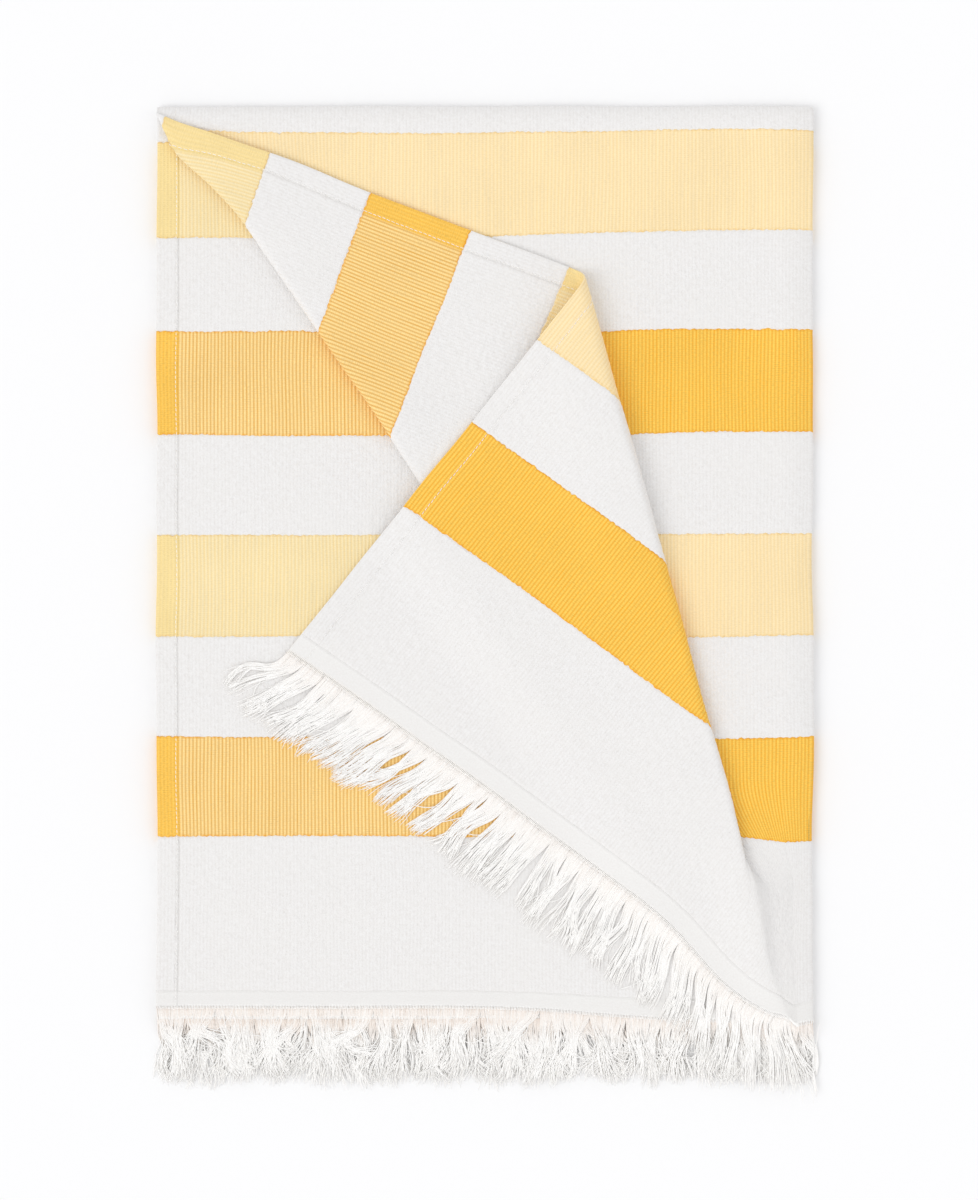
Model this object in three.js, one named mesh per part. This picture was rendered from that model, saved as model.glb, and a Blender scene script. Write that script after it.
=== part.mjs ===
// A striped beach towel with fringed ends, folded in quarters, its front corner turned back twice.
// Units are millimetres, +Z is up. The towel lies flat on its underside, top fold towards +Y.
import * as THREE from "three";

// Driving dimensions of the cloth.
const FOLDED_WIDTH = 500; // half of the cloth's width, which is folded once across
const CLOTH_WIDTH = 2 * FOLDED_WIDTH;
const CLOTH = 2.2; // thickness of one layer
const HEM_WIDTH = 16; // side edges turned over and stitched
const HEM_EXTRA = 0.6; // how much thicker the turned hem is
const BACK_FRINGE = 53;
const FRONT_FRINGE = 46;
const CORNER_FRINGE = 55;
const FRINGE_THICKNESS = 1.6;
const FRINGE_NOTCH = 9; // depth of the zigzag between two tassels
const STITCHED_EDGE = 2; // overlocked row between the woven end and the fringe
const LAYER_GAP = 0.4; // air between two layers that lie on each other
const SEAM_GAP = 0.3; // between two neighbouring solids of the same layer
const FRINGE_GAP = 1.1; // between the overlocked row and the fringe's solid
const THREAD = 0.3;
const THREAD_GAP = 0.25;

// Half of the stripe pattern, from the middle of the towel towards one end.
const MIDDLE_HALF = 24;
const STRIPES = [
  ["light_stripe_1", "light", 74],
  ["white_stripe_1", "white", 74],
  ["amber_stripe_1", "amber", 78],
  ["white_stripe_2", "white", 77],
  ["light_stripe_2", "light", 77],
  ["white_stripe_3", "white", 77],
  ["amber_stripe_2", "amber", 78],
  ["white_end_stripe", "white", 120],
  ["flat_woven_end", "end", 15],
];
const HALF_LENGTH = STRIPES.reduce((sum, stripe) => sum + stripe[2], MIDDLE_HALF);

// The stack of four layers: two inner ones meet at the middle height, two outer ones wrap them.
const INNER = (CLOTH + LAYER_GAP) / 2;
const OUTER = INNER + CLOTH + 2 * HEM_EXTRA + LAYER_GAP;
const MIDDLE_HEIGHT = OUTER + CLOTH / 2;
const SIDE_RADIUS = (OUTER - INNER) / 2;

// The two turn-backs of the front corner. Both fold lines meet just below the cloth's end.
const APEX = new THREE.Vector2(489, 712);
const FIRST_START = new THREE.Vector2(0, 9);
const SECOND_START = new THREE.Vector2(330.8, 131.4);
const FOLD_STEPS = 6;
const SIDE_STEPS = 6;
const ROW_PITCH = 26;
const CLOSEST = 0.25; // between two columns of a solid's grid
const CORNER_TRIM = 9; // cut off the middle stripe's corner, which the first fold would pinch
const SHARPEST = 1.5; // radius of the fold where it is pressed flat
const FIRST_RADIUS = 5;
const SECOND_RADIUS = 8.5;
const FIRST_REST = CLOTH + LAYER_GAP; // height of the first turn-back over the front layer
const SECOND_REST = CLOTH + HEM_EXTRA + LAYER_GAP;
const SETTLE_FIRST = 45; // distances over which a lifted layer comes down again
const SETTLE_SECOND = 60;
const SLOPE_START = 8; // the second turn-back slopes down past the first fold, over this far
const SLOPE_END = 48;

// How the outer front layer is pulled along by the turned corner.
const TOP_SLIP = 4;
const CORNER_SLIP = 10;
const CORNER_SLIP_REACH = 40;
const TOP_SLIP_REACH = 60;
const HEM_STRETCH = 0.042;
const STRETCH_REACH = 300;

const COLOURS = {
  white: new THREE.MeshStandardMaterial({ color: 0xefeeec, roughness: 0.95, metalness: 0 }),
  light: new THREE.MeshStandardMaterial({ color: 0xfbe2b0, roughness: 0.85, metalness: 0 }),
  amber: new THREE.MeshStandardMaterial({ color: 0xf9c657, roughness: 0.85, metalness: 0 }),
  end: new THREE.MeshStandardMaterial({ color: 0xe7e1da, roughness: 0.8, metalness: 0 }),
  fringe: new THREE.MeshStandardMaterial({ color: 0xe1ddd9, roughness: 0.8, metalness: 0 }),
  thread: new THREE.MeshStandardMaterial({ color: 0xf6ead2, roughness: 0.7, metalness: 0 }),
};

const smoothstep = THREE.MathUtils.smoothstep;
const towel = new THREE.Group();

const fall = (distance, reach) => Math.exp(-((Math.max(distance, 0) / reach) ** 2));

// A fold line in the plan: along it, and across it towards the side that is turned.
function foldLine(start, end, side) {
  const along = end.clone().sub(start).normalize();
  const across = new THREE.Vector2(-along.y, along.x).multiplyScalar(side);
  return { start, along, across, length: start.distanceTo(end) };
}
const FIRST = foldLine(FIRST_START, APEX, 1);
const SECOND = foldLine(SECOND_START, APEX, -1);

function measure(line, point) {
  const offset = point.clone().sub(line.start);
  return { along: offset.dot(line.along), across: offset.dot(line.across) };
}

// The point of the fold line's frame back in the plan.
function planPoint(line, along, across) {
  return line.start
    .clone()
    .addScaledVector(line.along, along)
    .addScaledVector(line.across, across);
}

function firstRadius(along) {
  const opened = smoothstep(along, 0, 120) * (1 - smoothstep(along, 430, 600));
  return SHARPEST + (FIRST_RADIUS - SHARPEST) * opened;
}

function secondRadius(along) {
  const share = THREE.MathUtils.clamp(1 - along / SECOND.length, 0, 1);
  return SHARPEST + (SECOND_RADIUS - SHARPEST) * share ** 1.2;
}

// Height of the first turn-back's middle surface over the front layer's, at a distance from the fold.
function firstLift(radius, distance) {
  const settled = fall(distance - (Math.PI * radius) / 2, SETTLE_FIRST);
  return FIRST_REST + (2 * radius - FIRST_REST) * settled;
}

// Height that the second turn-back rests at: over the first one, then down to the inner layer.
function secondSupport(point) {
  const at = measure(FIRST, point);
  const distance = -at.across;
  const radius = firstRadius(at.along);
  const over = firstLift(radius, distance) + SECOND_REST;
  const low = INNER - OUTER + SECOND_REST;
  return low + (over - low) * smoothstep(distance, -SLOPE_END, -SLOPE_START);
}

// Where a flat point of the outer front layer ends up, with its phase through each fold, 0 to 1.
function turnBack(flat, normal) {
  const first = measure(FIRST, flat);
  const radius = firstRadius(first.along);
  const phase1 = first.across / (Math.PI * radius) + 0.5;
  if (phase1 <= 0) return { point: flat, lift: normal, phase1, phase2: -1 };
  if (phase1 < 1) {
    const angle = phase1 * Math.PI;
    const across = (-Math.PI * radius) / 2 + (radius - normal) * Math.sin(angle);
    const lift = radius - (radius - normal) * Math.cos(angle);
    return { point: planPoint(FIRST, first.along, across), lift, phase1, phase2: -1 };
  }
  const turned = planPoint(FIRST, first.along, -first.across);
  const height = firstLift(radius, first.across);
  const second = measure(SECOND, turned);
  const bend = secondRadius(second.along);
  const phase2 = second.across / (Math.PI * bend) + 0.5;
  if (phase2 <= 0) return { point: turned, lift: height - normal, phase1, phase2 };
  if (phase2 < 1) {
    const angle = phase2 * Math.PI;
    const across = (-Math.PI * bend) / 2 + (bend + normal) * Math.sin(angle);
    const lift = height + bend - (bend + normal) * Math.cos(angle);
    return { point: planPoint(SECOND, second.along, across), lift, phase1, phase2 };
  }
  const again = planPoint(SECOND, second.along, -second.across);
  const support = secondSupport(again);
  const foldTop = FIRST_REST + 2 * bend;
  const settled = fall(second.across - (Math.PI * bend) / 2, SETTLE_SECOND);
  const lift = support + (foldTop - support) * settled + normal;
  return { point: again, lift, phase1, phase2 };
}

// The outer layer slips over the top fold near the left edge, and its hem is drawn a little longer.
function pulled(u, v) {
  const slip = TOP_SLIP + CORNER_SLIP * Math.exp(-u / CORNER_SLIP_REACH);
  const stretch = Math.max(v, 0) * HEM_STRETCH * Math.exp(-u / STRETCH_REACH);
  return v - slip * Math.exp(-((v / TOP_SLIP_REACH) ** 2)) + stretch;
}

function flatOuter(u, v) {
  return new THREE.Vector2(u, pulled(u, v));
}

// Cloth coordinates to space. u runs across from the outer hem, v along from the middle of the
// towel, and normal is the distance from the middle surface towards the cloth's outer face.
function place(u, v, normal) {
  const angle = THREE.MathUtils.clamp((u - FOLDED_WIDTH) / SIDE_RADIUS + 1, 0, 2) * (Math.PI / 2);
  const beyond = Math.max(u - FOLDED_WIDTH - SIDE_RADIUS, 0);
  const straight = Math.min(u, FOLDED_WIDTH - SIDE_RADIUS);
  const x = straight + (SIDE_RADIUS + normal) * Math.sin(angle) - beyond;
  const level = (OUTER + INNER) / 2 + (SIDE_RADIUS + normal) * Math.cos(angle);
  const y = pulled(Math.min(u, FOLDED_WIDTH), v);
  if (v > 0 && y > OUTER && u < FOLDED_WIDTH - SIDE_RADIUS) {
    const turned = turnBack(flatOuter(u, v), normal);
    return new THREE.Vector3(turned.point.x, -turned.point.y, MIDDLE_HEIGHT + OUTER + turned.lift);
  }
  const roll = THREE.MathUtils.clamp(Math.abs(y) / OUTER, 0, 1) * (Math.PI / 2);
  const depth = OUTER - level * Math.cos(roll) + Math.max(Math.abs(y) - OUTER, 0);
  return new THREE.Vector3(x, -depth, MIDDLE_HEIGHT + Math.sign(y) * level * Math.sin(roll));
}

// The value between two limits at which a test that holds at the first one stops holding.
function lastTrue(test, first, last) {
  let holds = first;
  let fails = last;
  if (!test(holds)) return first;
  for (let i = 0; i < 40; i++) {
    const middle = (holds + fails) / 2;
    if (test(middle)) holds = middle;
    else fails = middle;
  }
  return holds;
}

const phaseAt = (fold, u, v) => turnBack(flatOuter(u, v), 0)[fold];

// The u at which the row v reaches a phase of one of the two folds, or the hem if it never does.
function crossing(v, fold, phase) {
  if (v <= 0) return 0;
  return lastTrue((u) => phaseAt(fold, u, v) > phase, 0, FOLDED_WIDTH - SIDE_RADIUS);
}

const spaced = (from, to, count) =>
  Array.from({ length: count + 1 }, (_, i) => from + ((to - from) * i) / count);

const phases = spaced(0, 1, FOLD_STEPS);
const threadEdges = [HEM_WIDTH + 0.9, HEM_WIDTH + 1.7];
const hemColumns = [0, 2, 4, 6, 8, 12, HEM_WIDTH, HEM_WIDTH + 0.6, ...threadEdges];
const rightFold = spaced(FOLDED_WIDTH - SIDE_RADIUS, FOLDED_WIDTH + SIDE_RADIUS, SIDE_STEPS);
const innerHem = [...threadEdges, HEM_WIDTH + 0.6, HEM_WIDTH, 0]
  .sort((a, b) => b - a)
  .map((u) => CLOTH_WIDTH - u);
const flatOuterHem = [0, HEM_WIDTH, HEM_WIDTH + 0.6, ...threadEdges];

// Columns of a front row, from the outer hem to the inner one, closest together round the folds.
function frontColumns(v) {
  const rolls = [];
  for (const fold of ["phase1", "phase2"])
    for (const phase of phases) rolls.push(crossing(v, fold, phase));
  const end1 = rolls[FOLD_STEPS];
  const start2 = rolls[FOLD_STEPS + 1];
  const end2 = rolls[2 * FOLD_STEPS + 1];
  const between = [0.12, 0.3, 0.6].map((share) => end1 + (start2 - end1) * share);
  const beyond = [0.9, 0.8, 0.7, 0.6, 0.48, 0.3].map((share) => end2 * share);
  const start1 = rolls[0];
  const flat = [0.1, 0.4].map((share) => start1 + (FOLDED_WIDTH - start1) * share);
  const outer = [...rolls, ...between, ...beyond, ...flat].sort((a, b) => a - b);
  let previous = hemColumns[hemColumns.length - 1];
  for (let i = 0; i < outer.length; i++) {
    outer[i] = Math.max(outer[i], previous + CLOSEST);
    previous = outer[i];
  }
  return [...hemColumns, ...outer, ...rightFold, ...innerHem];
}

const backColumns = () => [...flatOuterHem, ...rightFold, ...innerHem];

// Rows between two values of v: evenly spaced, and closer where the hem goes round a fold.
const extraRows = [MIDDLE_HALF + 2, MIDDLE_HALF + 4];
for (const fold of ["phase1", "phase2"])
  for (const phase of spaced(0, 1, FOLD_STEPS / 2)) {
    const before = (v) => phaseAt(fold, HEM_WIDTH, v) < phase;
    extraRows.push(lastTrue(before, OUTER + CORNER_SLIP, HALF_LENGTH));
  }

function frontRows(from, to) {
  const even = spaced(from, to, Math.max(1, Math.round((to - from) / ROW_PITCH)));
  const clear = (v) => even.every((w) => Math.abs(v - w) > 1);
  const near = extraRows.filter((v) => v > from && v < to && clear(v));
  return [...even, ...near].sort((a, b) => a - b);
}

// A closed sheet over a grid of cloth points: rows of columns, with a face on either side.
function sheet(name, material, grid, faces) {
  const rows = grid.length;
  const columns = grid[0].length;
  const positions = [];
  for (const face of [0, 1])
    for (const row of grid)
      for (const [u, v] of row) positions.push(...place(u, v, faces(u)[face]).toArray());
  const at = (face, row, column) => face * rows * columns + row * columns + column;
  const index = [];
  const quad = (a, b, c, d) => index.push(a, b, c, a, c, d);
  for (let r = 0; r + 1 < rows; r++)
    for (let c = 0; c + 1 < columns; c++) {
      quad(at(0, r, c), at(0, r + 1, c), at(0, r + 1, c + 1), at(0, r, c + 1));
      quad(at(1, r, c), at(1, r, c + 1), at(1, r + 1, c + 1), at(1, r + 1, c));
    }
  for (let c = 0; c + 1 < columns; c++) {
    quad(at(0, 0, c), at(0, 0, c + 1), at(1, 0, c + 1), at(1, 0, c));
    const last = rows - 1;
    quad(at(0, last, c + 1), at(0, last, c), at(1, last, c), at(1, last, c + 1));
  }
  for (let r = 0; r + 1 < rows; r++) {
    quad(at(0, r + 1, 0), at(0, r, 0), at(1, r, 0), at(1, r + 1, 0));
    const last = columns - 1;
    quad(at(0, r, last), at(0, r + 1, last), at(1, r + 1, last), at(1, r, last));
  }
  const geometry = new THREE.BufferGeometry();
  geometry.setAttribute("position", new THREE.Float32BufferAttribute(positions, 3));
  geometry.setIndex(index);
  geometry.computeVertexNormals();
  const mesh = new THREE.Mesh(geometry, COLOURS[material]);
  mesh.name = name;
  towel.add(mesh);
}

// The outer face, and the inner face with the turned hem's extra thickness along both sides.
function clothFaces(u) {
  const hem = u <= HEM_WIDTH || u >= CLOTH_WIDTH - HEM_WIDTH;
  return [CLOTH / 2, -CLOTH / 2 - (hem ? HEM_EXTRA : 0)];
}

const threadRows = [];

function woven(name, material, rows, columns) {
  const grid = rows.map((v) => columns(v).map((u) => [u, v]));
  sheet(name, material, grid, clothFaces);
  threadRows.push(...rows);
}

// The middle stripe lies over the top fold, which slips sideways by a few millimetres.
const topFold = [...spaced(-6, 8, 7), ...spaced(10, 22, 6)];
const middleEdge = MIDDLE_HALF - SEAM_GAP / 2;
const trim = (u, v) => u + CORNER_TRIM * smoothstep(v, 12, 22) * Math.max(0, 1 - u / 40);
const middleColumns = (v) => frontColumns(MIDDLE_HALF).map((u) => trim(u, v));
woven("white_middle_stripe", "white", [-middleEdge, ...topFold, middleEdge], middleColumns);

let reach = MIDDLE_HALF;
for (const [name, material, width] of STRIPES) {
  const from = reach + SEAM_GAP / 2;
  const to = reach + width - SEAM_GAP / 2;
  woven("front_" + name, material, frontRows(from, to), frontColumns);
  woven("back_" + name, material, [-to, -from], backColumns);
  reach += width;
}

// The overlocked rows between the woven ends and the fringes.
const rowStart = HALF_LENGTH + SEAM_GAP / 2;
const rowEnd = rowStart + STITCHED_EDGE;
woven("front_end_stitching", "thread", [rowStart, rowEnd], frontColumns);
woven("back_end_stitching", "thread", [-rowEnd, -rowStart], backColumns);

// Fringes: flat skirts with a zigzag edge, from one u to another.
function fringe(name, side, length, uFrom, uTo, tassels) {
  const top = rowEnd + FRINGE_GAP;
  const even = spaced(uFrom, uTo, tassels).filter((u) => Math.abs(u - FOLDED_WIDTH) > SIDE_RADIUS + 3);
  const crossesFold = uFrom < FOLDED_WIDTH && uTo > FOLDED_WIDTH;
  const columns = [...even, ...(crossesFold ? rightFold : [])].sort((a, b) => a - b);
  const ends = columns.map((u, i) => top + length - (i % 2) * FRINGE_NOTCH);
  const upper = columns.map((u) => [u, side * top]);
  const lower = columns.map((u, i) => [u, side * ends[i]]);
  const half = FRINGE_THICKNESS / 2;
  const grid = side > 0 ? [upper, lower] : [lower, upper];
  sheet(name, "fringe", grid, () => [half, -half]);
}
const pleat = crossing(rowEnd, "phase1", 0) + 1;
const turnedEnd = crossing(rowEnd, "phase2", 1) - 8;
fringe("back_fringe", -1, BACK_FRINGE, 0, CLOTH_WIDTH, 60);
fringe("front_fringe", 1, FRONT_FRINGE, pleat, CLOTH_WIDTH, 32);
fringe("turned_corner_fringe", 1, CORNER_FRINGE, 0, turnedEnd, 44);

// Threads that hold the side hems down, beside the hem's inner edge.
function hemThread(name, columns) {
  const rows = threadRows.filter((v) => Math.abs(v) < HALF_LENGTH).sort((a, b) => a - b);
  const grid = rows.map((v) => columns.map((u) => [u, v]));
  const near = -CLOTH / 2 - THREAD_GAP;
  sheet(name, "thread", grid, () => [near, near - THREAD]);
}
hemThread("outer_hem_thread", threadEdges);
hemThread("inner_hem_thread", threadEdges.map((u) => CLOTH_WIDTH - u).reverse());

// The origin is under the middle of the towel, on the surface that it lies on.
const box = new THREE.Box3().setFromObject(towel);
const centre = box.getCenter(new THREE.Vector3());
towel.position.set(-centre.x, -centre.y, -box.min.z);
const part = new THREE.Group();
part.add(towel);

export default part;
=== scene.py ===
"""A striped terry beach towel with fringed ends, folded in quarters, its front corner turned back twice."""

import bpy
import numpy as np
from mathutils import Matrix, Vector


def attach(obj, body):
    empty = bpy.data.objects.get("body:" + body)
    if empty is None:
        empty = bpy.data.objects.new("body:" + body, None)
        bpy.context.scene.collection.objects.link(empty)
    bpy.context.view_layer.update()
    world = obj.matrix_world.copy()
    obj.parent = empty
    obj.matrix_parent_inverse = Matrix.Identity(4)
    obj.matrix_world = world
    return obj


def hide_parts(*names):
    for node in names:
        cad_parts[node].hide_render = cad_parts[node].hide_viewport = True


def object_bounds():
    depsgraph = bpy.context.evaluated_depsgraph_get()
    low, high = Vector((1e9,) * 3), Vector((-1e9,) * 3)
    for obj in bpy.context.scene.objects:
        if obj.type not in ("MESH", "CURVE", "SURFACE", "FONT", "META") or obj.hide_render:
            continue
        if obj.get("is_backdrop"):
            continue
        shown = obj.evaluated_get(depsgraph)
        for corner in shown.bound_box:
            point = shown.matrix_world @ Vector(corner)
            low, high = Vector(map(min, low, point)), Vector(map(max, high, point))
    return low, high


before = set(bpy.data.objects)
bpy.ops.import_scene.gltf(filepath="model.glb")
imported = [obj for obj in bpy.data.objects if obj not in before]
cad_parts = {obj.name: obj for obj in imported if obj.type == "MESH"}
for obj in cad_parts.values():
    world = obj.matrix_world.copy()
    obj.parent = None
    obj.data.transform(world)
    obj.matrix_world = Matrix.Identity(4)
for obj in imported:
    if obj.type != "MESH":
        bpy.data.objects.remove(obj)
cad_low, cad_high = (list(corner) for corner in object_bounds())

# ---------------------------------------------------------------------------------------------
# The cloth, in millimetres. u runs across it from the outer hem, v along it from its middle, and
# n is the distance from its middle surface towards the face that is outside when it is folded.
# ---------------------------------------------------------------------------------------------
MM = 0.001
FOLDED_WIDTH = 500.0
CLOTH_WIDTH = 2 * FOLDED_WIDTH
CLOTH = 2.2  # its thickness
HEM_WIDTH = 16.0
MIDDLE_HALF = 24.0  # half of the white stripe that goes over the top fold
STRIPES = [
    ("light_stripe_1", "light", 74.0),
    ("white_stripe_1", "white", 74.0),
    ("amber_stripe_1", "amber", 78.0),
    ("white_stripe_2", "white", 77.0),
    ("light_stripe_2", "light", 77.0),
    ("white_stripe_3", "white", 77.0),
    ("amber_stripe_2", "amber", 78.0),
    ("white_end_stripe", "white", 120.0),
    ("flat_woven_end", "end", 15.0),
]
HALF_LENGTH = MIDDLE_HALF + sum(stripe[2] for stripe in STRIPES)

# The stack: two front layers and two back ones, and the fold down its right-hand side.
INNER = 1.3  # height of the inner and the outer layers from the stack's middle
OUTER = 5.1
MIDDLE_HEIGHT = OUTER + CLOTH / 2
SIDE_RADIUS = (OUTER - INNER) / 2
TURN_START = FOLDED_WIDTH - SIDE_RADIUS

# The two turn-backs of the front corner.
APEX = (489.0, 712.0)  # where both folds meet
FIRST_START = (0.0, 4.0)
SECOND_START = (330.8, 130.4)
SHARPEST = 1.5  # radius of a fold where it is pressed flat
FIRST_RADIUS = 3.4
FIRST_OPENS = (0.0, 120.0)  # distances along the first fold between which it opens
FIRST_CLOSES = (290.0, 400.0)
SECOND_RADIUS = 7.9
SECOND_TAPER = 1.2
FIRST_REST = 2.6  # height of a turned layer over the one it has settled on
SECOND_REST = 3.2
SETTLE_FIRST = 45.0  # distance from its fold in which it settles
SETTLE_SECOND = 60.0
SLOPE_START = 6.0  # from the first fold, where the second turn-back starts to slope down outside it
SLOPE_END = 62.0

# Where the pleat between them opens, round the folds' meeting point.
OPENING = (112.0, 205.0)  # distances from the meeting point over which the folds take over
PLEAT_WIDTH = 0.1  # of its lower side, in radians round the meeting point
PLEAT_SMOOTHING = 0.08
RIDGE_HEIGHT = 7.5  # of the wave that the pleat opens into
RIDGE_SPREAD = (0.22, 0.07)  # of its left and right sides, in radians
RIDGE_RISE = (20.0, 120.0)  # distances from the meeting point over which it rises

# How the folds and the woven end are out of line.
BOW = 4.6  # how far the first fold bows inwards
BOW_RISE = (50.0, 110.0)  # distances along the fold between which the bow comes in
BOW_FALL = (340.0, 620.0)  # and goes out
BOW_WIDTH = 60.0
BULGE = 6.5  # how far it bulges outwards near its start
BULGE_AT = 34.0
BULGE_REACH = 22.0
BULGE_WIDTH = 15.0
SAG = 14.5  # how far the woven end hangs out of line beside the meeting point
SAG_AT = (455.0, 655.0)
SAG_REACH = 56.0
SAG_TOWARDS = (-0.45, 0.89)
SAG_FROM = (250.0, 360.0)  # distances from the left edge between which it comes in
SAG_TO_FOLD = 30.0  # distance from the right-hand fold over which it goes out

# How the outer front layer has slipped and stretched. A step is (how far down, from v, to v).
TOP_SLIP = 4.0  # over the top fold
TOP_SLIP_REACH = 60.0
CORNER_SLIP = 10.0  # and further at the left corner
CORNER_SLIP_REACH = 40.0
HEM_STRETCH = 0.042  # share by which the outer hem is longer
STRETCH_REACH = 300.0
RIGHT_FROM = (200.0, 420.0)  # distances from the outer hem over which the right-hand shifts come in
RIGHT_TOP = 2.4  # shift downwards close to the top fold
RIGHT_UPPER = 5.0  # and upwards over the upper half
RIGHT_UPPER_REACH = 220.0
RIGHT_SHRINK = 0.0039
RIGHT_STEPS = ((1.5, 559.0, 679.0), (-2.4, 175.0, 245.0), (1.0, 470.0, 580.0))
FLAP_SHORT = 5.5  # how far the turned corner's first stripe is drawn towards the top fold
FLAP_SHORT_AT = 98.0
FLAP_SHORT_REACH = 40.0
FLAP_SHORT_TO = (80.0, 200.0)  # distances from the outer hem over which this goes out

# How the inner front layer lies against the flat cloth.
UNDER_DOWN = 0.4
UNDER_TOP = 2.6  # further down near the top fold
UNDER_TOP_REACH = 230.0
UNDER_UP = 1.7  # a short stretch that lies higher
UNDER_UP_AT = 168.0
UNDER_UP_REACH = 30.0
UNDER_STEPS = ((-0.9, 60.0, 110.0), (-2.2, 481.0, 559.0), (-2.2, 559.0, 679.0), (-3.5, 679.0, 694.0))
UNDER_ACROSS = (20.0, 300.0)  # distances past the right-hand fold over which this comes in
UNDER_ALONG = (-60.0, 20.0)  # and along the cloth


def smoothstep(x, low, high):
    t = np.clip((x - low) / (high - low), 0.0, 1.0)
    return t * t * (3.0 - 2.0 * t)


def fall(distance, reach):
    return np.exp(-((np.maximum(distance, 0.0) / reach) ** 2))


class FoldLine:
    """A straight fold in the plan: along it, and across it towards the side that is turned."""

    def __init__(self, start, end, side):
        self.start = np.array(start)
        self.length = float(np.hypot(*(np.array(end) - self.start)))
        self.along = (np.array(end) - self.start) / self.length
        self.across = np.array([-self.along[1], self.along[0]]) * side

    def measure(self, x, y):
        dx = x - self.start[0]
        dy = y - self.start[1]
        along = dx * self.along[0] + dy * self.along[1]
        return along, dx * self.across[0] + dy * self.across[1]

    def plan(self, along, across):
        x = self.start[0] + along * self.along[0] + across * self.across[0]
        y = self.start[1] + along * self.along[1] + across * self.across[1]
        return x, y


FIRST = FoldLine(FIRST_START, APEX, 1)
SECOND = FoldLine(SECOND_START, APEX, -1)
RIDGE_ANGLE = float(np.arctan2(-SECOND.along[1], -SECOND.along[0]) + np.pi)  # seen from the apex
FIRST_ANGLE = float(np.arctan2(-FIRST.along[1], -FIRST.along[0]) + np.pi)
TURNED_BY = 2 * (RIDGE_ANGLE - FIRST_ANGLE)  # two mirrorings turn the corner by twice their angle
# Directions round the folds' meeting point in the flat cloth, and where they go in the open pleat.
PLEAT = (
    [-np.pi, RIDGE_ANGLE - TURNED_BY, FIRST_ANGLE, np.pi / 2, np.pi],
    [TURNED_BY - np.pi, RIDGE_ANGLE, RIDGE_ANGLE + PLEAT_WIDTH, np.pi / 2, np.pi],
)


def first_radius(along):
    """The first fold is open in its middle, and pressed flat at its start and under the second."""
    opened = smoothstep(along, *FIRST_OPENS) * (1.0 - smoothstep(along, *FIRST_CLOSES))
    return SHARPEST + (FIRST_RADIUS - SHARPEST) * opened


def second_radius(along):
    """The second fold is roundest at its start, and narrows towards the meeting point."""
    share = np.clip(1.0 - along / SECOND.length, 0.0, 1.0)
    return SHARPEST + (SECOND_RADIUS - SHARPEST) * share**SECOND_TAPER


def first_lift(radius, distance):
    """Height of the first turn-back at a distance past its fold's line."""
    settled = fall(distance - np.pi * radius / 2, SETTLE_FIRST)
    return FIRST_REST + (2 * radius - FIRST_REST) * settled


def second_support(x, y):
    """Height that the second turn-back rests at: on the first one, then down to the inner layer."""
    along, across = FIRST.measure(x, y)
    over = first_lift(first_radius(along), -across) + SECOND_REST
    low = INNER - OUTER + SECOND_REST
    return low + (over - low) * smoothstep(-across, -SLOPE_END, -SLOPE_START)


def turn_back(x, y, n):
    """Where a point of the flat outer front layer ends up, and its height over where it was."""
    along1, across1 = FIRST.measure(x, y)
    radius = first_radius(along1)
    phase1 = across1 / (np.pi * radius) + 0.5
    angle = np.clip(phase1, 0.0, 1.0) * np.pi
    rolled1 = FIRST.plan(along1, -np.pi * radius / 2 + (radius - n) * np.sin(angle))
    lift1 = radius - (radius - n) * np.cos(angle)
    turned = FIRST.plan(along1, -across1)
    height = first_lift(radius, across1)
    along2, across2 = SECOND.measure(*turned)
    bend = second_radius(along2)
    phase2 = across2 / (np.pi * bend) + 0.5
    angle = np.clip(phase2, 0.0, 1.0) * np.pi
    rolled2 = SECOND.plan(along2, -np.pi * bend / 2 + (bend + n) * np.sin(angle))
    lift2 = height + bend - (bend + n) * np.cos(angle)
    again = SECOND.plan(along2, -across2)
    support = second_support(*again)
    settled = fall(across2 - np.pi * bend / 2, SETTLE_SECOND)
    lift3 = support + (FIRST_REST + 2 * bend - support) * settled + n
    stages = [phase1 <= 0, phase1 < 1, phase2 <= 0, phase2 < 1]
    px = np.select(stages, [x, rolled1[0], turned[0], rolled2[0]], again[0])
    py = np.select(stages, [y, rolled1[1], turned[1], rolled2[1]], again[1])
    lift = np.select(stages, [n, lift1, height - n, lift2], lift3)
    px, py, lift = opened_out(x, y, n, px, py, lift)
    bowed = BOW * smoothstep(along1, *BOW_RISE) * (1.0 - smoothstep(along1, *BOW_FALL))
    bowed = bowed * fall(np.abs(across1), BOW_WIDTH)
    bulge = BULGE * fall(np.abs(along1 - BULGE_AT), BULGE_REACH) * fall(np.abs(across1), BULGE_WIDTH)
    inwards = bowed - bulge
    return px - FIRST.across[0] * inwards, py - FIRST.across[1] * inwards, lift


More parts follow.
